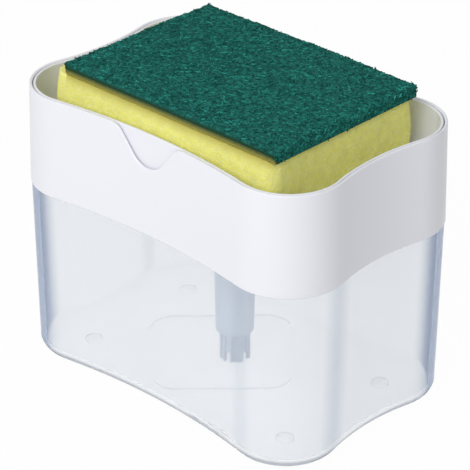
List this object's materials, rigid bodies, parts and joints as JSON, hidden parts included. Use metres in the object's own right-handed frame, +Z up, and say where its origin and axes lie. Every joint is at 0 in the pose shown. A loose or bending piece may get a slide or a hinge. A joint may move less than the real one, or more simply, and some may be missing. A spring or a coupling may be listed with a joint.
{
  "type": "soap pump caddy",
  "caption": "Waisted countertop soap dispenser: frosted tank, white top frame with thumb notch, and a sprung sponge tray that pumps soap up when pressed.",
  "frame": {"origin": "on the table under the middle of the base, in the plane of the four foot pads", "axes": "+X along the long side, -Y towards the front face with the thumb notch, +Z up along the pump"},
  "size_m": [0.138, 0.092, 0.1174],
  "materials": {
    "frosted_tank": "frosted translucent polypropylene, satin outside",
    "white_plastic": "smooth white moulded plastic, soft gloss",
    "pump_plastic": "pale grey-blue natural plastic",
    "seal_rubber": "pale silicone rubber",
    "foot_rubber": "clear silicone rubber",
    "spring_steel": "drawn stainless wire",
    "valve_steel": "polished stainless ball",
    "yellow_foam": "open-cell yellow foam",
    "green_fibre": "matted dark green abrasive fibre"
  },
  "bodies": {
    "reservoir": {"reservoir": "frosted_tank", "foot_pads": "foot_rubber"},
    "top_assembly": {"top_frame": "white_plastic", "collar_nut": "pump_plastic", "flange_gasket": "seal_rubber", "pump_cylinder": "pump_plastic", "cylinder_cap": "pump_plastic", "valve_cage": "pump_plastic", "inlet_tube": "pump_plastic", "return_spring": "spring_steel"},
    "plunger": {"plunger_stem": "pump_plastic", "piston_rod": "pump_plastic", "piston_seal": "seal_rubber"},
    "tray": {"press_tray": "white_plastic", "outlet_nozzle": "white_plastic"},
    "sponge": {"sponge_foam": "yellow_foam", "scour_pad": "green_fibre"},
    "inlet_ball": {"inlet_ball": "valve_steel"},
    "outlet_ball": {"outlet_ball": "valve_steel"}
  },
  "joints": [
    {"name": "top_lift", "type": "slide", "parent": "reservoir", "child": "top_assembly", "axis": [0, 0, 1], "range_m": [0, 0.075]},
    {"name": "press_stroke", "type": "slide", "parent": "top_assembly", "child": "plunger", "axis": [0, 0, -1], "range_m": [0, 0.011], "stiffness_N_per_m": 450, "springref_m": -0.014, "deforming": ["return_spring"]},
    {"name": "tray_lift", "type": "slide", "parent": "plunger", "child": "tray", "axis": [0, 0, 1], "range_m": [0, 0.035]},
    {"name": "sponge_lift", "type": "slide", "parent": "tray", "child": "sponge", "axis": [0, 0, 1], "range_m": [0, 0.03]},
    {"name": "inlet_ball_lift", "type": "slide", "parent": "top_assembly", "child": "inlet_ball", "axis": [0, 0, 1], "range_m": [0, 0.0018]},
    {"name": "outlet_ball_lift", "type": "slide", "parent": "plunger", "child": "outlet_ball", "axis": [0, 0, 1], "range_m": [0, 0.002]}
  ]
}
